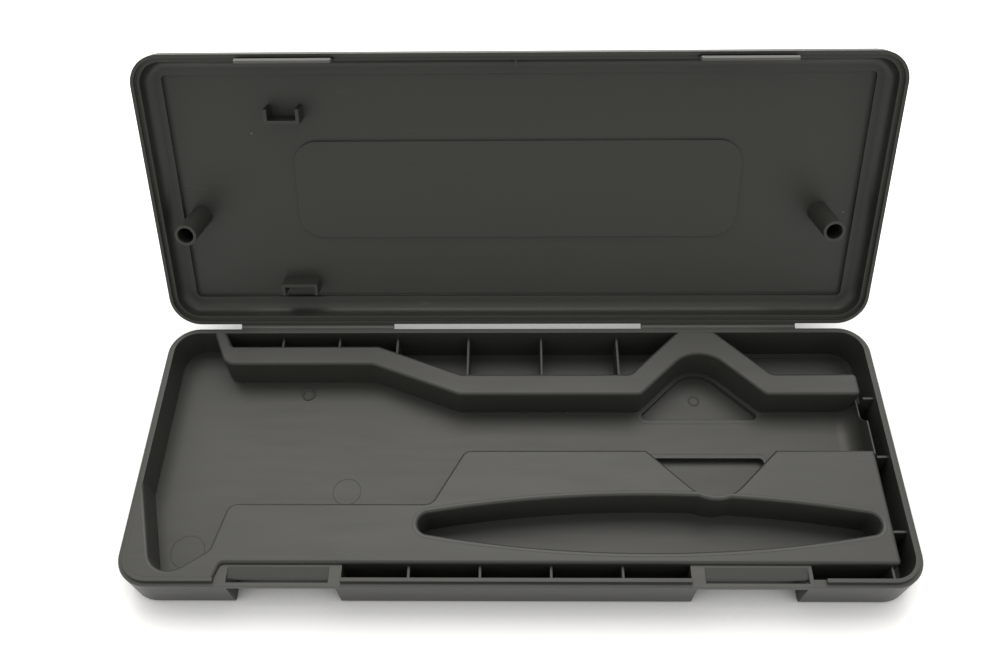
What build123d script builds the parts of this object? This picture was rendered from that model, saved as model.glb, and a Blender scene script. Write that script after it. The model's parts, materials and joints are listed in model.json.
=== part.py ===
"""Moulded polypropylene case for a 150 mm caliper: tray base, living hinge and snap-shut lid.

Frame: millimetres, +X along the hinge, +Y to the back, +Z up. The origin is the centre of the
base's underside. The lid stands open, as it does when the case is in use on a bench.
"""

import os
from math import cos, radians, sin, sqrt

from build123d import *

# Overall size
case_width = 245.0
case_depth = 94.0
base_height = 15.0  # underside to the flange that the lid closes on
lid_height = 10.0  # flange to the top of the raised lid panel
corner_radius = 10.0

# Moulding
wall = 2.5  # outer wall of base and lid
sheet = 1.5  # floors, rail, deck and lid panel
rib = 0.75
base_draft = 1.5  # degrees that the outer faces lean in, away from the closing rim
lid_draft = 3.0
foot_round = 1.8  # outer bottom edge of the base; a flat rim is left inside it
edge_round = 1.0  # upper edges of rail and deck

# Closing rim: the base's lip stands inside the lid's rebate
ledge = 1.3
lip_height = 1.2
lip_side_gap = 0.2
lip_top_gap = 0.3
closing_gap = 0.15

# Tray levels, above the underside
pocket_level = 4.0
well_level = 1.5
oval_level = 2.6
rear_rib_drop = 3.4
front_rib_drop = 2.2
floor_step = 0.6  # low border on the floor of the rear right cell
floor_step_width = 1.5

# Rail that holds the beam from behind
rail_run_left = 15.5  # front edge, measured from the rear face
rail_run_right = 27.7
rail_width_left = 7.6
rail_width_right = 8.2
rail_start = 14.3  # measured from the left end
rail_bend = 72.3
rail_straight = 102.7
rail_end = 7.2  # measured from the right end
rail_lean = 6.8  # how far the left end slopes over its depth
rail_foot = 18.5  # back edge, measured from the left end
rail_back_start = 22.5
rail_back_bend = 74.1
rail_back_straight = 103.1
rail_peak_width = 9.0
rail_start_corner = 5.0
rail_bend_corner = 3.0
rail_end_corner = 1.5

# Deck in front of the beam
beam_width = 20.9
deck_step = 18.8  # the deck is this much narrower beside the caliper's jaws
deck_front = 7.0  # measured from the front face
jaw_slope_start = 95.2  # measured from the left end
jaw_slope_end = 105.4
jaw_tip = 31.4
jaw_lobe = (27.8, 11.2)
jaw_heel = (12.1, 0.4)
pocket_shoulder = 59.5
lip_return = 30.4
lip_return_slope = 1.4
jaw_heel_corner = 7.0
jaw_corner = 3.5
deck_end_corner = 1.2
lip_return_corner = 1.6

# Finger wells either side of the beam
well_from_right = 59.8
well_half_width = 21.0
well_round = 11.4
well_inset = 1.4
well_overlap = 3.1  # how far each well reaches into the beam's channel
well_mouth_lap = 1.0  # the deck's cut for the front well starts this far inside the channel
well_corner = 1.6

# Long oval pocket in the deck
oval_length = 143.4
oval_width = 18.8
oval_end_round = 3.5
oval_from_right = 82.0
oval_from_front = 20.0
oval_well_wall = 1.4  # wall that it shares with the front finger well
oval_blend = 2.0

# Cells between tray and outer wall
rear_ribs = (39.4, 59.5, 80.1, 105.2, 130.9, 157.6)  # measured from the left end
front_ribs = (89.2, 110.9, 132.5, 154.2)
end_ribs = (50.0, 75.8)  # measured from the rear face
corner_rib = 9.5  # measured from the right end
channel_wall = 1.2
channel_wall_lap = 2.0  # the channel's end wall runs on behind the ends of rail and deck
channel_gap = 9.9  # low stretch of the channel's end wall, beside the rail
channel_gap_height = 6.0
channel_lean = 0.9  # how far the end wall's inner face leans
channel_cove = 3.0  # curve between the channel's floor and its end wall

# Latches
latch_places = (-72.8, 71.7)
latch_width = 30.0
latch_slot_gap = 0.5
tongue = 0.8
tongue_from_front = 1.4
tongue_root = 2.65  # the tongue hangs from this far up inside the lid's rim
tongue_seat_gap = 0.03
barb = 0.45
barb_height = 1.5
barb_gap = 0.15
bar_thickness = 1.6
bar_dish = 0.9  # how deep the bar's top dips towards the slot
bar_border = 0.8  # flat stretch left behind the dish
slot_from_front = 1.3
slot_width = 1.5
latch_skin = 1.0  # left of the lid's wall in front of the tongue

# Openings below the catch bars, reached with a finger
notch_places = (-71.7, 70.2)
notch_width = 33.2
notch_wall = 1.6

# Living hinge
hinge_spacing = 142.0
hinge_width = 54.5
hinge_gap = 1.0  # rear face to the fold
leaf_reach = 0.45
leaf_height = 1.4
leaf_root = 0.6  # sunk in the wall
film = 0.4
film_bend = 0.7
lid_open_angle = 118.4

# Lid
lid_edge_round = 4.5
lid_inner_round = 3.0
panel_inset = 7.7
panel_step = 1.6
panel_corner = 1.6
panel_edge_round = 0.8
pad_width = 150.0
pad_depth = 34.0
pad_height = 0.8
pad_corner = 8.0
stiffener_x = -0.4
stiffener_reach = 2.6  # from the inside of the front wall
stiffener_drop = 1.0  # it stops this far above the rebate

# Hollow posts that keep the caliper from sliding
post_places = ((13.5, 38.0), (225.5, 38.7))  # from the left end, from the rear face
post_radius = 3.5
post_bore_radius = 2.6
post_bore_depth = 17.0
post_floor_gap = 0.35

# Three-sided clips inside the lid
clip_wall = 1.1
upper_clip = (40.6, 76.3, 11.5, 4.8)  # left end, rear face, width, depth
lower_clip = (39.8, 10.6, 12.5, 4.1)
clip_top_gap = 0.5

lip_top = base_height + lip_height
hinge_y = case_depth / 2 + hinge_gap
closed_rim = base_height + closing_gap
closed_top = base_height + lid_height
rebate_top = lip_top + lip_top_gap
panel_level = closed_top - sheet


def left(distance):
    """X of a point measured in from the left end."""
    return distance - case_width / 2


def right(distance):
    """X of a point measured in from the right end."""
    return case_width / 2 - distance


def rear(distance):
    """Y of a point measured forward from the rear face."""
    return case_depth / 2 - distance


def front(distance):
    """Y of a point measured back from the front face."""
    return distance - case_depth / 2


def case_outline(inset, radius=None):
    """Rounded rectangle that follows the outside of the case at a distance."""
    with BuildSketch() as outline:
        RectangleRounded(case_width - 2 * inset, case_depth - 2 * inset, radius or corner_radius - inset)
    return outline.sketch


def corners_at(outline, points):
    """The vertices of a sketch in the making that lie on the given points."""
    places = [Vector(*point) for point in points]
    return [v for v in outline.vertices() if any((v.center() - p).length < 0.01 for p in places)]


outer_plan = case_outline(0)
lip_plan = case_outline(ledge)
inner_plan = case_outline(wall)

# Plan of the rail: two straight runs joined by a slope, with a peak over the upper finger well
well_x = right(well_from_right)
peak_reach = rail_run_right - well_half_width
rail_back_left = rail_run_left - rail_width_left
rail_back_right = rail_run_right - rail_width_right

rail_front_bends = [
    (left(rail_start + rail_lean), rear(rail_run_left)),
    (left(rail_bend), rear(rail_run_left)),
    (left(rail_straight), rear(rail_run_right)),
    (well_x - well_half_width, rear(rail_run_right)),
    (well_x + well_half_width, rear(rail_run_right)),
]
rail_peak = (well_x, rear(peak_reach))
rail_back_bends = [
    (well_x + rail_peak_width / 2 + rail_back_right, rear(rail_back_right)),
    (well_x - rail_peak_width / 2 - rail_back_right, rear(rail_back_right)),
    (left(rail_back_straight), rear(rail_back_right)),
    (left(rail_back_bend), rear(rail_back_left)),
]
rail_ends = [
    (right(rail_end), rear(rail_run_right)),
    (right(rail_end), rear(rail_back_right)),
    (left(rail_back_start), rear(rail_back_left)),
]

with BuildSketch() as rail_plan:
    with BuildLine():
        Polyline(
            (left(rail_start), rear(0)),
            *rail_front_bends[:4],
            rail_peak,
            rail_front_bends[4],
            *rail_ends[:2],
            rail_back_bends[0],
            (well_x + rail_peak_width / 2, rear(0)),
            (well_x - rail_peak_width / 2, rear(0)),
            *rail_back_bends[1:],
            rail_ends[2],
            (left(rail_foot), rear(0)),
            close=True,
        )
    make_face()
    fillet(corners_at(rail_plan, [rail_peak]), well_round)
    fillet(corners_at(rail_plan, rail_front_bends[:1]), rail_start_corner)
    fillet(corners_at(rail_plan, rail_front_bends[1:] + rail_back_bends), rail_bend_corner)
    fillet(corners_at(rail_plan, rail_ends), rail_end_corner)
    add(inner_plan, mode=Mode.INTERSECT)

# Plan of the deck: the raised area in front of the beam, with the room for the caliper's jaws cut out of it
deck_back = rail_run_right + beam_width
jaw_back = deck_back + deck_step
jaw_lobe_depth = case_depth - jaw_lobe[1]
jaw_heel_depth = case_depth - jaw_heel[1]

with BuildSketch() as deck_plan:
    with BuildLine():
        Polyline(
            (left(0), rear(pocket_shoulder)),
            (left(wall), rear(pocket_shoulder)),
            (left(jaw_heel[0]), rear(jaw_heel_depth)),
            (left(jaw_lobe[0]), rear(jaw_lobe_depth)),
            (left(jaw_tip), rear(jaw_back)),
            (left(jaw_slope_start), rear(jaw_back)),
            (left(jaw_slope_end), rear(deck_back)),
            (right(rail_end), rear(deck_back)),
            (right(rail_end), front(deck_front)),
            (left(lip_return + lip_return_slope), front(deck_front)),
            (left(lip_return), front(wall)),
            (left(lip_return), front(0)),
            (left(0), front(0)),
            close=True,
        )
    make_face()
    fillet(corners_at(deck_plan, [(left(jaw_heel[0]), rear(jaw_heel_depth))]), jaw_heel_corner)
    fillet(
        corners_at(
            deck_plan,
            [
                (left(jaw_lobe[0]), rear(jaw_lobe_depth)),
                (left(jaw_tip), rear(jaw_back)),
                (left(jaw_slope_start), rear(jaw_back)),
                (left(jaw_slope_end), rear(deck_back)),
            ],
        ),
        jaw_corner,
    )
    fillet(corners_at(deck_plan, [(right(rail_end), front(deck_front))]), deck_end_corner)
    lip_return_bend = (left(lip_return + lip_return_slope), front(deck_front))
    fillet(corners_at(deck_plan, [lip_return_bend]), lip_return_corner)
    add(inner_plan, mode=Mode.INTERSECT)


def well_outline(inset, side, base_line):
    """Triangle with a rounded tip, open to the beam's channel; side is 1 behind it, -1 in front."""
    middle = rear(rail_run_right + beam_width / 2)
    mouth = beam_width / 2
    tip = middle + side * (mouth + well_half_width - sqrt(2) * inset)
    start = middle + side * base_line
    half = abs(tip - start)
    with BuildSketch() as outline:
        with BuildLine():
            Polyline((well_x - half, start), (well_x + half, start), (well_x, tip), close=True)
        make_face()
        fillet(corners_at(outline, [(well_x, tip)]), well_round - inset)
        if inset:
            fillet(corners_at(outline, [(well_x - half, start), (well_x + half, start)]), well_corner)
    return outline.sketch


def strips(x_spans, y_near, y_far):
    """Rectangles over several X spans, between two Y values."""
    with BuildSketch() as rectangles:
        for low, high in x_spans:
            with Locations(((low + high) / 2, (y_near + y_far) / 2)):
                Rectangle(high - low, y_far - y_near)
    return rectangles.sketch


front_well_mouth = well_outline(0, -1, beam_width / 2 - well_mouth_lap)
with BuildSketch() as deck_top_plan:
    add(deck_plan.sketch)
    add(front_well_mouth, mode=Mode.SUBTRACT)

# Wall across the right end of the beam's channel
end_wall_span = (right(rail_end), right(rail_end) + channel_wall)
end_wall_far = rear(rail_run_right) + channel_wall_lap
with BuildSketch() as channel_end_plan:
    add(strips([end_wall_span], rear(deck_back) - channel_wall_lap, end_wall_far))
    add(rail_plan.sketch, mode=Mode.SUBTRACT)
    add(deck_top_plan.sketch, mode=Mode.SUBTRACT)

# What is left open inside the outer wall: the beam's pocket, which is the largest, and the cells around it
with BuildSketch() as open_plan:
    add(inner_plan)
    add(rail_plan.sketch, mode=Mode.SUBTRACT)
    add(deck_top_plan.sketch, mode=Mode.SUBTRACT)
    add(channel_end_plan.sketch, mode=Mode.SUBTRACT)
open_areas = open_plan.faces().sort_by(SortBy.AREA)
pocket_area = open_areas[-1]
cell_areas = open_areas[:-1]

# Latch bays: at the front the base has neither floor nor lip there, so a finger reaches under the bar


def spans(middles, reach):
    return [(middle - reach, middle + reach) for middle in middles]


notch_spans = spans(notch_places, notch_width / 2)
slot_spans = spans(latch_places, latch_width / 2 + latch_slot_gap)
latch_spans = spans(latch_places, latch_width / 2)
bay_spans = spans(notch_places, notch_width / 2 + notch_wall)
bay_spans[0] = (left(lip_return), bay_spans[0][1])
lip_gap_spans = (bay_spans[0], (bay_spans[1][0], right(lip_return)))

with BuildSketch() as cell_plan:
    for area in cell_areas:
        add(area)
bay_plan = strips(bay_spans, front(wall), front(deck_front))
with BuildSketch() as cell_floor_plan:
    add(cell_plan.sketch)
    add(bay_plan, mode=Mode.SUBTRACT)
notch_plan = strips(notch_spans, front(-1), front(deck_front))
with BuildSketch() as notch_wall_plan:
    for low, high in notch_spans:
        with Locations(((low + high) / 2, front((wall + deck_front) / 2))):
            Rectangle(notch_width + 2 * notch_wall, deck_front - wall)
    add(notch_plan, mode=Mode.SUBTRACT)
    add(cell_plan.sketch, mode=Mode.INTERSECT)

# Rail and deck are open from below: their hollows stay one sheet away from every open area
with BuildSketch() as walled_plan:
    add(open_plan.sketch)
    add(bay_plan, mode=Mode.SUBTRACT)
with BuildSketch() as hollow_plan:
    add(inner_plan)
    for area in walled_plan.faces():
        offset(area, amount=sheet, mode=Mode.SUBTRACT)
with BuildSketch() as rail_hollow_plan:
    add(rail_plan.sketch)
    add(hollow_plan.sketch, mode=Mode.INTERSECT)
with BuildSketch() as deck_hollow_plan:
    add(deck_top_plan.sketch)
    add(hollow_plan.sketch, mode=Mode.INTERSECT)


def upper_edges(piece):
    """Edges round the piece's top face, apart from those against the outer wall."""
    top = piece.faces().filter_by(Plane.XY).sort_by(Axis.Z)[-1]
    wall_line = inner_plan.face().outer_wire().moved(Location((0, 0, top.center().Z)))
    return [edge for edge in top.edges() if wall_line.distance_to(edge @ 0.5) > 0.01]


# Base: outer wall with its lip, floors of the cells, hinge leaves
bar_level = base_height - bar_thickness

with BuildSketch() as through_plan:
    add(inner_plan)
    add(cell_floor_plan.sketch, mode=Mode.SUBTRACT)
    add(notch_wall_plan.sketch, mode=Mode.SUBTRACT)
with BuildSketch() as above_floor_plan:
    add(inner_plan)
    add(notch_wall_plan.sketch, mode=Mode.SUBTRACT)
with BuildSketch() as floor_border_plan:
    add(strips([(well_x, right(wall))], rear(rail_run_right), rear(wall)))
    add(cell_floor_plan.sketch, mode=Mode.INTERSECT)
    add(case_outline(wall + floor_step_width), mode=Mode.SUBTRACT)

with BuildPart() as base_shell:
    with BuildSketch(Plane.XY.offset(base_height)):
        add(outer_plan)
    extrude(amount=-base_height, taper=base_draft)
    fillet(base_shell.faces().sort_by(Axis.Z)[0].edges(), foot_round)
    with BuildSketch(Plane.XY.offset(base_height)):
        add(lip_plan)
    extrude(amount=lip_height)
    # Hollow it out above the cells' floors and beside the walls of the notches
    with BuildSketch():
        add(through_plan.sketch)
    extrude(amount=sheet, mode=Mode.SUBTRACT)
    with BuildSketch(Plane.XY.offset(sheet)):
        add(above_floor_plan.sketch)
    extrude(amount=bar_level - sheet, mode=Mode.SUBTRACT)
    with BuildSketch(Plane.XY.offset(bar_level)):
        add(inner_plan)
    extrude(amount=lip_top - bar_level, mode=Mode.SUBTRACT)
    with BuildSketch(Plane.XY.offset(sheet)):
        add(floor_border_plan.sketch)
    extrude(amount=floor_step)
    with BuildSketch():
        add(notch_plan)
    extrude(amount=bar_level, mode=Mode.SUBTRACT)
    with BuildSketch(Plane.XY.offset(base_height)):
        add(strips(lip_gap_spans, front(-1), front(wall)))
    extrude(amount=lip_height, mode=Mode.SUBTRACT)
    with BuildSketch(Plane.XY.offset(bar_level)):
        add(strips(bay_spans, front(-1), front(deck_front)))
    extrude(amount=bar_thickness, mode=Mode.SUBTRACT)
    for x in (-hinge_spacing / 2, hinge_spacing / 2):
        with BuildSketch(Plane.YZ.offset(x - hinge_width / 2)):
            with BuildLine():
                Polyline(
                    (rear(leaf_root), base_height),
                    (rear(-leaf_reach), base_height),
                    (rear(-leaf_reach), base_height - film),
                    (rear(0), base_height - leaf_height),
                    (rear(leaf_root), base_height - leaf_height),
                    close=True,
                )
            make_face()
        extrude(amount=hinge_width)


def catch_bar(bay_span, slot_span):
    """Bar over a latch bay; its top dips to the slot that a tongue of the lid drops through."""
    slot_back = front(slot_from_front + slot_width)
    with BuildPart() as bar:
        with BuildSketch(Plane.XY.offset(bar_level)):
            add(strips([bay_span], front(0), front(deck_front)))
            add(deck_top_plan.sketch, mode=Mode.SUBTRACT)
        extrude(amount=bar_thickness)
        with BuildSketch(Plane.XY.offset(bar_level)):
            add(strips([slot_span], front(slot_from_front), slot_back))
        extrude(amount=bar_thickness, mode=Mode.SUBTRACT)
        with BuildSketch(Plane.YZ.offset(slot_span[0])):
            with BuildLine():
                Polyline(
                    (slot_back, base_height - bar_dish),
                    (slot_back, base_height),
                    (front(deck_front - bar_border), base_height),
                    close=True,
                )
            make_face()
        extrude(amount=slot_span[1] - slot_span[0], mode=Mode.SUBTRACT)
    return bar


base_stretches = base_shell.solids().sort_by(SortBy.VOLUME)
left_catch_bar, right_catch_bar = [catch_bar(bay, slot) for bay, slot in zip(bay_spans, slot_spans)]

# Rail: one unbroken ridge, open from below
with BuildPart() as beam_rail:
    with BuildSketch():
        add(rail_plan.sketch)
    extrude(amount=lip_top)
    fillet(upper_edges(beam_rail), edge_round)
    with BuildSketch():
        add(rail_hollow_plan.sketch)
    extrude(amount=lip_top - sheet, mode=Mode.SUBTRACT)

# Oval pocket, hung in the deck; where the front finger well comes near, they share one wall
oval_middle = (right(oval_from_right), front(oval_from_front))
oval_depth = lip_top - oval_level


def oval_outline(margin):
    """Two long arcs that run tangent into two small end arcs."""
    end = oval_end_round + margin
    reach = oval_length / 2 - oval_end_round
    half = oval_width / 2 + margin
    side = (reach**2 + half**2 - end**2) / (2 * (half - end))
    share = end / (side - end)
    touch_x = reach * (1 + share)
    touch_y = (side - half) * share
    with BuildSketch(Plane((*oval_middle, 0))) as outline:
        with BuildLine():
            ThreePointArc((-touch_x, touch_y), (0, half), (touch_x, touch_y))
            ThreePointArc((touch_x, touch_y), (reach + end, 0), (touch_x, -touch_y))
            ThreePointArc((touch_x, -touch_y), (0, -half), (-touch_x, -touch_y))
            ThreePointArc((-touch_x, -touch_y), (-reach - end, 0), (-touch_x, touch_y))
        make_face()
    return outline.sketch


with BuildSketch() as oval_plan:
    add(oval_outline(0))
    offset(front_well_mouth, amount=oval_well_wall, mode=Mode.SUBTRACT)
with BuildSketch() as oval_wall_plan:
    add(oval_outline(sheet))
    add(front_well_mouth, mode=Mode.SUBTRACT)

with BuildPart() as oval_pocket:
    with BuildSketch(Plane.XY.offset(oval_level - sheet)):
        add(oval_wall_plan.sketch)
    extrude(amount=oval_depth + sheet)
    with BuildSketch(Plane.XY.offset(oval_level)):
        add(oval_plan.sketch)
    extrude(amount=oval_depth, mode=Mode.SUBTRACT)
    dent_edges = [
        edge
        for edge in oval_pocket.edges().filter_by(Axis.Z)
        if abs(edge.center().X - well_x) < well_half_width and abs(edge.length - oval_depth) < 0.01
    ]
    if dent_edges:
        fillet(dent_edges, oval_blend)
    fillet(oval_pocket.faces().sort_by(Axis.Z)[-1].inner_wires()[0].edges(), edge_round)

# Deck: top sheet and the walls that drop from it to the underside
with BuildPart() as deck:
    with BuildSketch():
        add(deck_top_plan.sketch)
    extrude(amount=lip_top)
    fillet(upper_edges(deck), edge_round)
    with BuildSketch():
        add(deck_hollow_plan.sketch)
    extrude(amount=lip_top - sheet, mode=Mode.SUBTRACT)
    with BuildSketch():
        add(oval_wall_plan.sketch)
    extrude(amount=lip_top, mode=Mode.SUBTRACT)

# Floor of the pocket: head recess and beam channel
well_line = beam_width / 2 - well_overlap


def finger_well(side):
    """Sunken tub off the beam's channel, where a fingertip gets under the beam."""
    outline = well_outline(well_inset, side, well_line)
    with BuildSketch() as walls:
        offset(outline, amount=sheet)
        add(pocket_area, mode=Mode.INTERSECT)
    with BuildPart() as well:
        with BuildSketch():
            add(walls.sketch)
        extrude(amount=pocket_level)
        with BuildSketch(Plane.XY.offset(well_level)):
            add(outline)
        extrude(amount=pocket_level - well_level, mode=Mode.SUBTRACT)
    return well


rear_finger_well = finger_well(1)
front_finger_well = finger_well(-1)

with BuildPart() as pocket_floor:
    with BuildSketch(Plane.XY.offset(pocket_level - sheet)):
        add(pocket_area)
        for well in (rear_finger_well, front_finger_well):
            add(well.faces().sort_by(Axis.Z)[0], mode=Mode.SUBTRACT)
    extrude(amount=sheet)

# Wall across the channel's right end, low beside the rail; its foot curves into the channel's floor
gap_level = pocket_level + channel_gap_height
gap_edge = rear(rail_run_right + channel_gap)
cove_top = (right(rail_end) - channel_lean, pocket_level + channel_cove)
cove_foot = (cove_top[0] - channel_cove, pocket_level)
cove_middle = (
    cove_foot[0] + channel_cove * sin(radians(45)),
    cove_top[1] - channel_cove * cos(radians(45)),
)
with BuildPart() as channel_end_wall:
    with BuildSketch():
        add(channel_end_plan.sketch)
    extrude(amount=lip_top)
    with BuildSketch(Plane.XY.offset(gap_level)):
        add(strips([end_wall_span], gap_edge, end_wall_far))
    extrude(amount=lip_top - gap_level, mode=Mode.SUBTRACT)
    with BuildSketch(Plane.XZ.offset(-gap_edge)):
        with BuildLine():
            Polyline(cove_top, (right(rail_end), lip_top), (right(rail_end), pocket_level), cove_foot)
            ThreePointArc(cove_foot, cove_middle, cove_top)
        make_face()
    extrude(amount=beam_width - channel_gap)


def rib_set(x_places, y_places, y_span, x_span, level):
    """Thin ribs that cross the cells, standing on their floors."""
    with BuildPart() as ribs:
        with BuildSketch(Plane.XY.offset(sheet)):
            for x in x_places:
                with Locations((x, sum(y_span) / 2)):
                    Rectangle(rib, y_span[1] - y_span[0])
            for y in y_places:
                with Locations((sum(x_span) / 2, y)):
                    Rectangle(x_span[1] - x_span[0], rib)
            add(cell_floor_plan.sketch, mode=Mode.INTERSECT)
        extrude(amount=level - sheet)
    return ribs


rear_cell_ribs = rib_set(
    [left(distance) for distance in rear_ribs],
    [],
    (rear(rail_run_right), rear(wall)),
    (0, 0),
    lip_top - rear_rib_drop,
)
front_cell_ribs = rib_set(
    [left(distance) for distance in front_ribs],
    [],
    (front(wall), front(deck_front)),
    (0, 0),
    lip_top - front_rib_drop,
)
end_cell_ribs = rib_set(
    [right(corner_rib)],
    [rear(rail_run_right + rib / 2)] + [rear(distance) for distance in end_ribs],
    (front(wall), front(deck_front)),
    (right(rail_end), right(wall)),
    lip_top - front_rib_drop,
)

# Lid, modelled shut: what meets the base takes the same values, and then the lid swings open
border_top = closed_top - panel_step
border_level = border_top - sheet
recess_plan = case_outline(panel_inset, panel_corner)
plateau_plan = case_outline(panel_inset - sheet, panel_corner + sheet)
latch_ceiling = closed_rim + tongue_root

with BuildPart() as lid_cavity:
    with BuildSketch(Plane.XY.offset(closed_rim)):
        add(inner_plan)
    extrude(amount=border_level - closed_rim)
    fillet(lid_cavity.faces().sort_by(Axis.Z)[-1].edges(), lid_inner_round)

with BuildPart() as lid_shell:
    with BuildSketch(Plane.XY.offset(closed_rim)):
        add(outer_plan)
    extrude(amount=border_top - closed_rim, taper=lid_draft)
    fillet(lid_shell.faces().sort_by(Axis.Z)[-1].edges(), lid_edge_round)
    with BuildSketch(Plane.XY.offset(border_top)):
        add(plateau_plan)
    extrude(amount=panel_step)
    fillet(lid_shell.faces().sort_by(Axis.Z)[-1].edges(), panel_edge_round)
    add(lid_cavity.part, mode=Mode.SUBTRACT)
    # Rebate round the rim, for the base's lip
    with BuildSketch(Plane.XY.offset(closed_rim)):
        add(case_outline(ledge - lip_side_gap))
    extrude(amount=rebate_top - closed_rim, mode=Mode.SUBTRACT)
    # Raised panel, and the plain pad in it
    with BuildSketch(Plane.XY.offset(panel_level - panel_step)):
        add(recess_plan)
    extrude(amount=panel_step, mode=Mode.SUBTRACT)
    with BuildSketch(Plane.XY.offset(panel_level)):
        RectangleRounded(pad_width, pad_depth, pad_corner)
    extrude(amount=-pad_height)
    with BuildSketch(Plane.XY.offset(closed_top)):
        RectangleRounded(pad_width - 2 * sheet, pad_depth - 2 * sheet, pad_corner - sheet)
    extrude(amount=-pad_height, mode=Mode.SUBTRACT)
    # Stiffener inside the front wall
    with BuildSketch(Plane.XY.offset(rebate_top + stiffener_drop)):
        add(strips(spans([stiffener_x], rib / 2), front(wall / 2), front(wall + stiffener_reach)))
    extrude(amount=border_level - rebate_top - stiffener_drop)
    # Room for the latch tongues
    with BuildSketch(Plane.XY.offset(closed_rim)):
        add(strips(slot_spans, front(latch_skin), front(slot_from_front + slot_width)))
    extrude(amount=tongue_root, mode=Mode.SUBTRACT)
    # Leaves of the living hinge
    for x in (-hinge_spacing / 2, hinge_spacing / 2):
        with BuildSketch(Plane.YZ.offset(x - hinge_width / 2)):
            with BuildLine():
                Polyline(
                    (rear(leaf_root), closed_rim),
                    (rear(-leaf_reach), closed_rim),
                    (rear(-leaf_reach), closed_rim + film),
                    (rear(0), closed_rim + leaf_height),
                    (rear(leaf_root), closed_rim + leaf_height),
                    close=True,
                )
            make_face()
        extrude(amount=hinge_width)


def post(place):
    """Round post with a blind bore, moulded on the lid's panel; it ends just above the pocket's floor."""
    middle = (left(place[0]), rear(place[1]))
    tip = pocket_level + post_floor_gap
    with BuildPart() as pin:
        with BuildSketch(Plane.XY.offset(tip)):
            with Locations(middle):
                Circle(post_radius)
        extrude(amount=panel_level - tip)
        with BuildSketch(Plane.XY.offset(tip)):
            with Locations(middle):
                Circle(post_bore_radius)
        extrude(amount=post_bore_depth, mode=Mode.SUBTRACT)
    return pin


def clip(place, side):
    """Three-sided clip under the panel; side is 1 where it opens to the hinge, -1 to the front."""
    edge, distance, width, depth = place
    middle = (left(edge + width / 2), rear(distance) - side * depth / 2)
    with BuildPart() as holder:
        with BuildSketch(Plane.XY.offset(lip_top + clip_top_gap)):
            with Locations(middle):
                Rectangle(width, depth)
            with Locations((middle[0], middle[1] + side * clip_wall / 2)):
                Rectangle(width - 2 * clip_wall, depth - clip_wall, mode=Mode.SUBTRACT)
        extrude(amount=panel_level - lip_top - clip_top_gap)
    return holder


# Latch tongue: it hangs in the lid's front wall on a rounded root, and its barb catches under the bar
pivot_y = front(tongue_from_front + tongue / 2)
pivot_z = latch_ceiling - tongue / 2 - tongue_seat_gap
barb_top = bar_level - barb_gap
tongue_tip = barb_top - barb_height


def latch_tongue(span):
    outer = front(tongue_from_front)
    inner = front(tongue_from_front + tongue)
    barb_nose = front(tongue_from_front - barb)
    with BuildPart() as tongue_piece:
        with BuildSketch(Plane.YZ.offset(span[0])):
            with BuildLine():
                Polyline(
                    (outer, pivot_z),
                    (outer, barb_top),
                    (barb_nose, barb_top),
                    (barb_nose, barb_top - barb),
                    (outer, tongue_tip),
                    (inner, tongue_tip),
                    (inner, pivot_z),
                )
                ThreePointArc((inner, pivot_z), (pivot_y, pivot_z + tongue / 2), (outer, pivot_z))
            make_face()
        extrude(amount=span[1] - span[0])
    return tongue_piece


def swung(y, z):
    """Where a point of the shut lid stands, in the YZ plane, once the lid is open."""
    return Vector(0, hinge_y, base_height) + Vector(0, y - hinge_y, z - base_height).rotate(
        Axis.X, -lid_open_angle
    )


# Living hinge: a thin film bent between the two leaves, as it stands with the lid open
film_start = Vector(0, rear(-leaf_reach), base_height)
film_end = swung(rear(-leaf_reach), closed_rim)
film_turn = 180 - lid_open_angle
film_rise = (film_end.Z - film_start.Z) / sin(radians(film_turn))
film_corner = film_end - Vector(0, cos(radians(film_turn)), sin(radians(film_turn))) * film_rise


def hinge_film(x):
    with BuildPart() as strip:
        with BuildSketch(Plane.YZ.offset(x - hinge_width / 2)):
            with BuildLine():
                FilletPolyline(
                    *[(point.Y, point.Z) for point in (film_start, film_corner, film_end)],
                    radius=film_bend - film / 2,
                )
                offset(amount=film, side=Side.RIGHT)
            make_face()
        extrude(amount=hinge_width)
    return strip


left_hinge_film, right_hinge_film = [hinge_film(x) for x in (-hinge_spacing / 2, hinge_spacing / 2)]

base_pieces = {
    "left_catch_bar": left_catch_bar,
    "right_catch_bar": right_catch_bar,
    "beam_rail": beam_rail,
    "deck": deck,
    "oval_pocket": oval_pocket,
    "pocket_floor": pocket_floor,
    "rear_finger_well": rear_finger_well,
    "front_finger_well": front_finger_well,
    "channel_end_wall": channel_end_wall,
    "rear_cell_ribs": rear_cell_ribs,
    "front_cell_ribs": front_cell_ribs,
    "end_cell_ribs": end_cell_ribs,
    "left_hinge_film": left_hinge_film,
    "right_hinge_film": right_hinge_film,
}
lid_pieces = {
    "lid_shell": lid_shell,
    "left_post": post(post_places[0]),
    "right_post": post(post_places[1]),
    "front_clip": clip(upper_clip, -1),
    "rear_clip": clip(lower_clip, 1),
    "left_latch": latch_tongue(latch_spans[0]),
    "right_latch": latch_tongue(latch_spans[1]),
}

hinge_line = Axis((0, hinge_y, base_height), (1, 0, 0))
solids = {"base_shell": base_stretches[-1], "front_wall": base_stretches[0]}
for name, piece in base_pieces.items():
    solids[name] = piece.part
for name, piece in lid_pieces.items():
    solids[name] = piece.part.rotate(hinge_line, -lid_open_angle)

os.makedirs("parts", exist_ok=True)
for name, solid in solids.items():
    solid.label = name
    export_step(solid, f"parts/{name}.step")
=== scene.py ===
"""Looks of the caliper case: dark moulded polypropylene on a white floor, lit from above and behind."""

import json
from math import cos, pi, radians, sin

import bmesh
import bpy
from mathutils import Matrix, Vector

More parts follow.
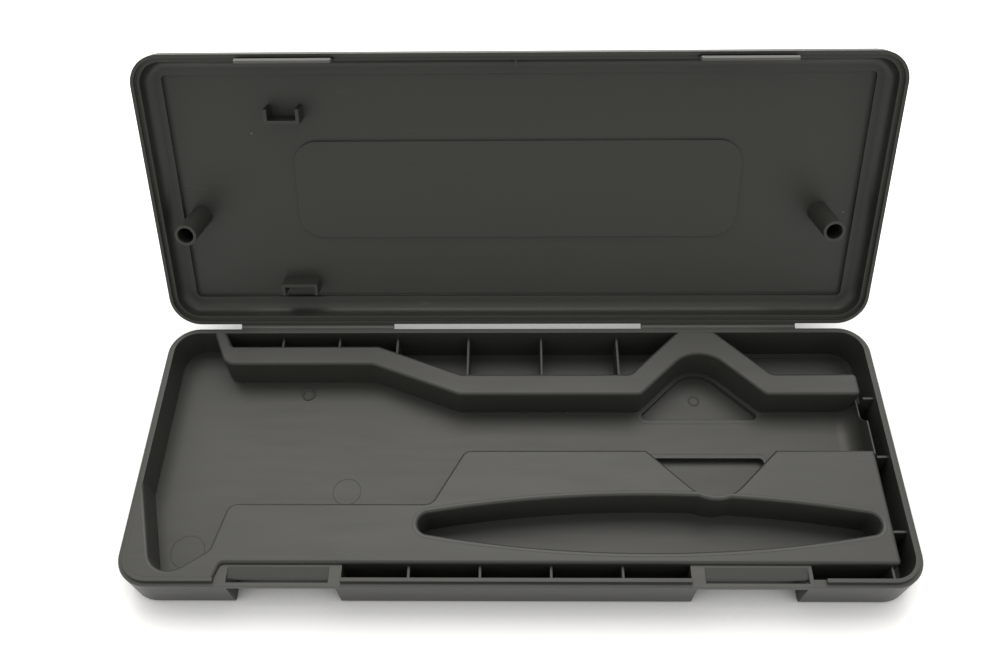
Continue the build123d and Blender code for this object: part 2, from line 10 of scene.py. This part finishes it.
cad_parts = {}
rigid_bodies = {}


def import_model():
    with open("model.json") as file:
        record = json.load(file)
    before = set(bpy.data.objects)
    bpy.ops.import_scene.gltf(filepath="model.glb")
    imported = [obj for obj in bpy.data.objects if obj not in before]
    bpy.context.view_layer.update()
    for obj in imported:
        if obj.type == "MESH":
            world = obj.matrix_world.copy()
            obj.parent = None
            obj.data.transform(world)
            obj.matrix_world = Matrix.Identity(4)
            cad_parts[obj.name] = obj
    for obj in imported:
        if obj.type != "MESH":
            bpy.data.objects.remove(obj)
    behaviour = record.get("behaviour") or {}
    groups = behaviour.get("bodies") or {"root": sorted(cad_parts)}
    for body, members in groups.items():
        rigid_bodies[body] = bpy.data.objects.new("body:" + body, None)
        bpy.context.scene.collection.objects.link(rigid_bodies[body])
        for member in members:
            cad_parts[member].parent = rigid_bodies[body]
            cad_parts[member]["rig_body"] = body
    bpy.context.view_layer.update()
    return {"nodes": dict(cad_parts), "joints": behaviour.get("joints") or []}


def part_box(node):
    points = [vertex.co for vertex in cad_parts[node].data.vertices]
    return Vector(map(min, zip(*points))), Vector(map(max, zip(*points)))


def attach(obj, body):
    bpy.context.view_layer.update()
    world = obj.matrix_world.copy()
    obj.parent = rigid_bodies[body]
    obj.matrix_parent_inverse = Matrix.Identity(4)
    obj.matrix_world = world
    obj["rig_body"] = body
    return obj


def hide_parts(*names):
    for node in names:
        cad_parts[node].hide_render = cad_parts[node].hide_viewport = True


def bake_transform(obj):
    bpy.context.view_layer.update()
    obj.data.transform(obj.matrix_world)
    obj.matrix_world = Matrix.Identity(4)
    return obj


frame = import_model()

mm = 0.001
cad_nodes = frame["nodes"]
joints = {joint["name"]: joint for joint in frame["joints"]}

# Camera: the photograph's view
image_width = 1000
focal_pixels = 946.8
camera_place = Vector((-1.1, -144.4, 291.3)) * mm
camera_pitch = 55.65  # degrees below the horizon
camera_yaw = 1.52
camera_roll = -1.35
camera_near = 0.01
sensor_width = 36

# Light, in metres and watts
softbox_place = Vector((0.0, 0.85, 1.2))
softbox_size = 1.4
softbox_power = 20
softbox_colour = (1.0, 0.985, 0.95)
room_colour = (1.0, 0.985, 0.95, 1)
room_brightness = 0.78
white = (1, 1, 1, 1)

# Floor
floor_size = 6.0
floor_tone = 0.9
floor_glow = 0.42  # to the camera and in gloss only
floor_shade_reach = 0.06
floor_shade_samples = 16
floor_drop = 0.05 * mm

# Polypropylene: one plastic throughout, in tones that differ by area as painted light and shade
# the lid, darker than the base: painted shade
lid_shaded_tone = (0.0262, 0.0275, 0.023)
base_tone = (0.033, 0.0335, 0.029)
# pocket floors, finger wells and catch bars, paler than the base: painted light
tray_lightened_tone = (0.038, 0.0385, 0.034)
# hinge films, paler than the base: painted light
film_lightened_tone = (0.075, 0.077, 0.07)
# latch tongues, paler than the base: painted light
latch_lightened_tone = (0.09, 0.09, 0.085)
plastic_roughness = 0.46
roughness_spread = 0.1
plastic_ior = 1.49
edge_radius = 0.22 * mm
edge_samples = 6
cloud_depth = 0.07
grain_bump = {"Strength": 0.35, "Distance": 0.03 * mm}
scuff_bump = {"Strength": 0.2, "Distance": 0.1 * mm}

# Noise fields: scale, stretch, turn in degrees and detail
cloud_noise = (26, 2.6, 8, 3)
scuff_noise = (260, 6, 24, 4)
grain_noise = (3600, 1, 0, 2)
patch_noise = (45, 1.5, 70, 2)
along_noise = (90, 22, 31, 2)
across_noise = (120, 30, -52, 2)
noise_middle = 0.5

# Scratches, dust, and edges made lighter: a painted edge highlight together with rubbing wear
patch_level = 0.58
patch_softness = 0.12
along_width = 0.004
across_width = 0.003
scratch_share = 0.2
scratch_colour = (0.12, 0.12, 0.115, 1)
edge_mask_gain = 5.0
rub_and_highlight_share = 0.3
# lighter along every sharp edge, convex and concave: painted edge highlight with rubbing wear
rub_and_highlight_colour = (0.1, 0.1, 0.095, 1)
dust_density = 170
dust_size = 0.03
dust_rarity = 0.95
dust_colour = (0.38, 0.37, 0.35, 1)

# Colour sockets of the Mix node, which share their names with its other sockets
mix_first = 6
mix_second = 7
mix_result = 2

# Rings moulded on the floors: place, radius, width and height, in millimetres
pocket_level = 4.0
well_level = 1.5
ring_marks = {
    "pocket_ring": ((-73.7, 26.4, pocket_level), 2.0, 0.8, 0.5),
    "well_ring": ((62.1, 25.1, well_level), 1.7, 0.6, 0.25),
    "pin_mark": ((-56.5, -10.9, pocket_level), 4.6, 0.25, 0.03),
    "corner_pin_mark": ((-105.4, -31.8, pocket_level), 5.4, 0.25, 0.015),
}
ring_sink = 0.05
ring_shoulder = 0.4  # of the height
ring_crown_angles = (-50, 0, 50)
ring_steps = 64

# Scoop at the right end of the beam's channel, in millimetres
scoop_wall_x = 115.0
scoop_radius = 6.4
scoop_lip = 0.4
scoop_back_x = 116.5
scoop_shoulder = 2.2
scoop_floor_sheet = 1.5
scoop_front_y = -3.0
scoop_low_y = 20.8
scoop_high = 16.15
scoop_low = 10.7
scoop_drop = (9.2, 14.2)  # the lip comes down between these two places
scoop_drop_steps = 10
scoop_sweep_step = 2  # degrees

# Dark walls behind the finger recesses, painted shade for the catch slots, in millimetres
slot_shade_wall = 1.8
slot_shade_wall_front = -40.5
slot_shade_wall_top = 14.6
slot_shade_wall_round = 0.2
slot_shade_foot_angles = (0, 30, 60, 90)

# Hinge films
fold_step = 10  # degrees between the cuts round the fold
weld_distance = 1e-6  # metres


def add_node(tree, kind, inputs=None, **settings):
    """A shader node; each input is a plain value or the output that feeds it."""
    node = tree.nodes.new(kind)
    for key, value in settings.items():
        setattr(node, key, value)
    for key, value in (inputs or {}).items():
        if isinstance(value, bpy.types.NodeSocket):
            tree.links.new(value, node.inputs[key])
        else:
            node.inputs[key].default_value = value
    return node


def add_math(tree, operation, first, second, clamp=False):
    inputs = {0: first, 1: second}
    node = add_node(tree, "ShaderNodeMath", inputs, operation=operation, use_clamp=clamp)
    return node.outputs[0]


def mix_colours(tree, factor, first, second):
    inputs = {0: factor, mix_first: first, mix_second: second}
    mixed = add_node(tree, "ShaderNodeMix", inputs, data_type="RGBA")
    return mixed.outputs[mix_result]


def blank_material(name):
    material = bpy.data.materials.new(name)
    material.use_nodes = True
    material.node_tree.nodes.clear()
    return material, material.node_tree


def drawn_noise(tree, place, scale, stretch, turn, detail):
    """Noise drawn out along one direction in the case's plan."""
    mapping = add_node(
        tree,
        "ShaderNodeMapping",
        {"Vector": place, "Rotation": (0, 0, radians(turn)), "Scale": (1 / stretch, 1, 1)},
    )
    noise = add_node(
        tree,
        "ShaderNodeTexNoise",
        {"Vector": mapping.outputs[0], "Scale": scale, "Detail": detail},
    )
    return noise.outputs["Fac"]


def thin_lines(tree, field, width):
    """1 along the places where a field passes its middle, 0 elsewhere."""
    off_middle = add_math(tree, "SUBTRACT", field, noise_middle)
    distance = add_math(tree, "ABSOLUTE", off_middle, 0.0)
    return add_math(tree, "SUBTRACT", 1.0, add_math(tree, "DIVIDE", distance, width), clamp=True)


def above(tree, field, level, softness):
    """0 below a level of the field, rising to 1 over its softness."""
    return add_math(tree, "DIVIDE", add_math(tree, "SUBTRACT", field, level), softness, clamp=True)


def hairline_scratches(tree, place):
    """Fine scratches in two directions, gathered in a few patches."""
    patches = above(tree, drawn_noise(tree, place, *patch_noise), patch_level, patch_softness)
    along = thin_lines(tree, drawn_noise(tree, place, *along_noise), along_width)
    across = thin_lines(tree, drawn_noise(tree, place, *across_noise), across_width)
    return add_math(tree, "MULTIPLY", add_math(tree, "MAXIMUM", along, across), patches)


def dust_specks(tree, place):
    """A few pale specks, well apart."""
    cells = add_node(
        tree, "ShaderNodeTexVoronoi", {"Vector": place, "Scale": dust_density}, feature="F1"
    )
    chance = add_node(tree, "ShaderNodeSeparateColor", {0: cells.outputs["Color"]}).outputs[0]
    speck = add_math(tree, "LESS_THAN", cells.outputs["Distance"], dust_size)
    return add_math(tree, "MULTIPLY", speck, add_math(tree, "GREATER_THAN", chance, dust_rarity))


def edges(tree, rounded):
    """1 along sharp edges, where the rounded normal leaves the true one, and 0 on flat faces."""
    true_normal = add_node(tree, "ShaderNodeNewGeometry").outputs["Normal"]
    inputs = {0: rounded, 1: true_normal}
    along = add_node(tree, "ShaderNodeVectorMath", inputs, operation="DOT_PRODUCT")
    turned = add_math(tree, "SUBTRACT", 1.0, along.outputs["Value"])
    return add_math(tree, "MULTIPLY", turned, edge_mask_gain, clamp=True)


def moulded_plastic(name, tone):
    """Spark-eroded polypropylene with flow clouds, hairline scratches and a little dust."""
    material, tree = blank_material(name)
    place = add_node(tree, "ShaderNodeTexCoord").outputs["Object"]
    bevel = add_node(tree, "ShaderNodeBevel", {"Radius": edge_radius}, samples=edge_samples)
    rounded = bevel.outputs[0]
    cloud = drawn_noise(tree, place, *cloud_noise)
    scuff = drawn_noise(tree, place, *scuff_noise)
    grain = drawn_noise(tree, place, *grain_noise)

    dark = [channel * (1 - cloud_depth) for channel in tone] + [1]
    pale = [channel * (1 + cloud_depth) for channel in tone] + [1]
    body = mix_colours(tree, cloud, dark, pale)
    scratched = add_math(tree, "MULTIPLY", hairline_scratches(tree, place), scratch_share)
    marked = mix_colours(tree, scratched, body, scratch_colour)
    # edges lightened as a painted highlight together with rubbing wear, in creases as well as on ridges
    worn_and_highlit = add_math(tree, "MULTIPLY", edges(tree, rounded), rub_and_highlight_share)
    rubbed_and_highlit = mix_colours(tree, worn_and_highlit, marked, rub_and_highlight_colour)
    colour = mix_colours(tree, dust_specks(tree, place), rubbed_and_highlit, dust_colour)

    off_middle = add_math(tree, "SUBTRACT", scuff, noise_middle)
    uneven = add_math(tree, "MULTIPLY", off_middle, roughness_spread)
    roughness = add_math(tree, "ADD", uneven, plastic_roughness)

    texture = add_node(tree, "ShaderNodeBump", {"Height": grain, "Normal": rounded, **grain_bump})
    grained = texture.outputs[0]
    flow = add_node(tree, "ShaderNodeBump", {"Height": scuff, "Normal": grained, **scuff_bump})
    shader = add_node(
        tree,
        "ShaderNodeBsdfPrincipled",
        {
            "Base Color": colour,
            "Roughness": roughness,
            "IOR": plastic_ior,
            "Normal": flow.outputs[0],
        },
    )
    output = add_node(tree, "ShaderNodeOutputMaterial", {"Surface": shader.outputs[0]})
    output.is_active_output = True
    return material


def paint(piece, material):
    piece.data.materials.clear()
    piece.data.materials.append(material)


def set_camera():
    data = bpy.data.cameras.new("photo_view")
    data.sensor_fit = "HORIZONTAL"
    data.sensor_width = sensor_width
    data.lens = focal_pixels / image_width * sensor_width
    data.clip_start = camera_near
    camera = bpy.data.objects.new("photo_view", data)
    bpy.context.scene.collection.objects.link(camera)
    turn = Matrix.Rotation(radians(camera_yaw), 4, "Z")
    tilt = Matrix.Rotation(radians(90 - camera_pitch), 4, "X")
    roll = Matrix.Rotation(radians(camera_roll), 4, "Z")
    camera.matrix_world = Matrix.Translation(camera_place) @ turn @ tilt @ roll
    bpy.context.scene.camera = camera


def add_softbox():
    data = bpy.data.lights.new("softbox", "AREA")
    data.shape = "SQUARE"
    data.size = softbox_size
    data.energy = softbox_power
    data.color = softbox_colour
    lamp = bpy.data.objects.new("softbox", data)
    bpy.context.scene.collection.objects.link(lamp)
    lamp.location = softbox_place
    lamp.rotation_euler = (-softbox_place).to_track_quat("-Z", "Y").to_euler()


def set_room():
    """Even room light; what the camera sees past the floor is white."""
    world = bpy.data.worlds.new("room")
    bpy.context.scene.world = world
    world.use_nodes = True
    tree = world.node_tree
    tree.nodes.clear()
    light_path = add_node(tree, "ShaderNodeLightPath")
    seen = light_path.outputs["Is Camera Ray"]
    strength = add_math(tree, "MAXIMUM", seen, room_brightness)
    colour = mix_colours(tree, seen, room_colour, white)
    background = add_node(tree, "ShaderNodeBackground", {"Color": colour, "Strength": strength})
    add_node(tree, "ShaderNodeOutputWorld", {"Surface": background.outputs[0]})


def floor_material():
    """White to the camera and in gloss, darker near the case and in narrow gaps; else pale paper."""
    material, tree = blank_material("studio_floor")
    light_path = add_node(tree, "ShaderNodeLightPath")
    in_gloss = light_path.outputs["Is Glossy Ray"]
    seen = add_math(tree, "MAXIMUM", light_path.outputs["Is Camera Ray"], in_gloss)
    shade = add_node(
        tree,
        "ShaderNodeAmbientOcclusion",
        {"Distance": floor_shade_reach},
        samples=floor_shade_samples,
    )
    tone = mix_colours(tree, seen, [floor_tone] * 3 + [1], shade.outputs["Color"])
    paper = add_node(tree, "ShaderNodeBsdfDiffuse", {"Color": tone})
    seen_glow = add_math(tree, "MULTIPLY", seen, floor_glow)
    strength = add_math(tree, "MULTIPLY", seen_glow, shade.outputs["AO"])
    glow = add_node(tree, "ShaderNodeEmission", {"Strength": strength})
    both = add_node(tree, "ShaderNodeAddShader", {0: paper.outputs[0], 1: glow.outputs[0]})
    add_node(tree, "ShaderNodeOutputMaterial", {"Surface": both.outputs[0]})
    return material


def white_floor():
    mesh = bpy.data.meshes.new("studio_floor")
    half = floor_size / 2
    plan = ((-half, -half), (half, -half), (half, half), (-half, half))
    mesh.from_pydata([(x, y, -floor_drop) for x, y in plan], [], [(0, 1, 2, 3)])
    floor = bpy.data.objects.new("studio_floor", mesh)
    bpy.context.scene.collection.objects.link(floor)
    mesh.materials.append(floor_material())


def add_piece(name, mesh, material, body):
    piece = bpy.data.objects.new(name, mesh)
    bpy.context.scene.collection.objects.link(piece)
    paint(piece, material)
    if body:
        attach(piece, body)
    return piece


def lofted(name, sections, closed=False):
    """Closed skin through outlines that all have the same number of points, in millimetres."""
    shape = bmesh.new()
    rings = [[shape.verts.new(Vector(point) * mm) for point in section] for section in sections]
    followers = rings[1:] + (rings[:1] if closed else [])
    for near, far in zip(rings, followers):
        for index in range(len(near)):
            follower = (index + 1) % len(near)
            shape.faces.new((near[index], near[follower], far[follower], far[index]))
    if not closed:
        shape.faces.new(rings[0])
        shape.faces.new(rings[-1])
    bmesh.ops.recalc_face_normals(shape, faces=shape.faces)
    mesh = bpy.data.meshes.new(name)
    shape.to_mesh(mesh)
    shape.free()
    return mesh


def ring(name, place, radius, width, height):
    """Low ring with a rounded crown, sunk a little in its floor."""
    half = width / 2
    shoulder = ring_shoulder * height
    crown = [
        (half * sin(radians(angle)), height * (ring_shoulder + (1 - ring_shoulder) * cos(radians(angle))))
        for angle in ring_crown_angles
    ]
    profile = [(-half, -ring_sink), (-half, shoulder)] + crown + [(half, shoulder), (half, -ring_sink)]
    sections = []
    for step in range(ring_steps):
        angle = 2 * pi * step / ring_steps
        sections.append(
            [
                (
                    place[0] + (radius + out) * cos(angle),
                    place[1] + (radius + out) * sin(angle),
                    place[2] + up,
                )
                for out, up in profile
            ]
        )
    return lofted(name, sections, closed=True)


def scoop_section(y):
    """Outline of the channel's end wall: a floor that sweeps up to a thin lip."""
    drop_start, drop_end = scoop_drop
    share = min(1, max(0, (y - drop_start) / (drop_end - drop_start)))
    top = scoop_high + (scoop_low - scoop_high) * sin(share * pi / 2)
    sheet_low = pocket_level - scoop_floor_sheet
    middle_x = scoop_wall_x - scoop_radius
    middle_z = pocket_level + scoop_radius
    sweep = [
        (
            middle_x + scoop_radius * sin(radians(angle)),
            middle_z - scoop_radius * cos(radians(angle)),
        )
        for angle in range(0, 91, scoop_sweep_step)
    ]
    outline = [(middle_x, sheet_low)] + sweep
    outline += [
        (scoop_wall_x, top),
        (scoop_wall_x + scoop_lip, top),
        (scoop_back_x, top - scoop_shoulder),
        (scoop_back_x, 0),
        (scoop_wall_x, 0),
        (scoop_wall_x, sheet_low),
    ]
    return [(x, y, z) for x, z in outline]


def channel_scoop():
    drop_start, drop_end = scoop_drop
    drop_step = (drop_end - drop_start) / scoop_drop_steps
    places = [scoop_front_y]
    places += [drop_start + drop_step * step for step in range(scoop_drop_steps + 1)]
    places += [scoop_low_y]
    return lofted("channel_scoop", [scoop_section(y) for y in places])


def slot_shade_sheet(name, low, high):
    """Dark wall behind a finger recess, with a rounded foot, put there as painted shade: it darkens what
    shows through the catch slot.
    """
    back = slot_shade_wall_front + slot_shade_wall
    foot = [
        (
            slot_shade_wall_front + slot_shade_wall_round * (1 - cos(radians(angle))),
            slot_shade_wall_round * (1 - sin(radians(angle))),
        )
        for angle in slot_shade_foot_angles
    ]
    outline = [(slot_shade_wall_front, slot_shade_wall_top)] + foot + [(back, 0), (back, slot_shade_wall_top)]
    return lofted(name, [[(x, y, z) for y, z in outline] for x in (low, high)])


def bending_film(node_name, piece_name, material):
    """The hinge's film, cut fine round the fold line."""
    mesh = cad_nodes[node_name].data.copy()
    fold = Vector(joints["lid_hinge"]["pos_m"])
    fine = bmesh.new()
    fine.from_mesh(mesh)
    bmesh.ops.remove_doubles(fine, verts=fine.verts, dist=weld_distance)
    for turn in range(fold_step, 180, fold_step):
        across = Matrix.Rotation(radians(turn), 3, "X") @ Vector((0, 0, 1))
        whole = fine.verts[:] + fine.edges[:] + fine.faces[:]
        bmesh.ops.bisect_plane(fine, geom=whole, plane_co=fold, plane_no=across)
    fine.to_mesh(mesh)
    fine.free()
    piece = add_piece(piece_name, mesh, material, None)
    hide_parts(node_name)
    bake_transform(piece)


bpy.context.scene.view_settings.view_transform = "Standard"
set_camera()
set_room()
add_softbox()
white_floor()

base_plastic = moulded_plastic("base_polypropylene", base_tone)
lid_shaded_plastic = moulded_plastic("lid_polypropylene_painted_shade", lid_shaded_tone)
tray_lightened_plastic = moulded_plastic("tray_polypropylene_painted_light", tray_lightened_tone)
film_lightened_plastic = moulded_plastic("film_polypropylene_painted_light", film_lightened_tone)
latch_lightened_plastic = moulded_plastic("latch_polypropylene_painted_light", latch_lightened_tone)
# the lid takes a darker tone than the base as painted shade
plastics = {"base": base_plastic, "lid": lid_shaded_plastic}
for name, piece in cad_nodes.items():
    # pieces on other bodies, the latch tongues, take a paler tone as painted light
    paint(piece, plastics.get(piece["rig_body"], latch_lightened_plastic))
# the pocket floors, finger wells and catch bars take a paler tone as painted light
tray_floors = ("pocket_floor", "oval_pocket", "rear_finger_well", "front_finger_well")
for name in tray_floors + ("left_catch_bar", "right_catch_bar"):
    paint(cad_nodes[name], tray_lightened_plastic)

for side in ("left", "right"):
    # the films take a paler tone as painted light
    bending_film(f"{side}_hinge_film", f"{side}_film", film_lightened_plastic)
    # a dark wall behind each finger recess paints the shade seen through its catch slot
    bar_low, bar_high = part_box(f"{side}_catch_bar")
    name = f"{side}_recess_wall"
    add_piece(name, slot_shade_sheet(name, bar_low.x / mm, bar_high.x / mm), base_plastic, "base")

scoop = add_piece("channel_scoop", channel_scoop(), base_plastic, "base")
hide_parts("channel_end_wall")
for name, mark in ring_marks.items():
    add_piece(name, ring(name, *mark), base_plastic, "base")
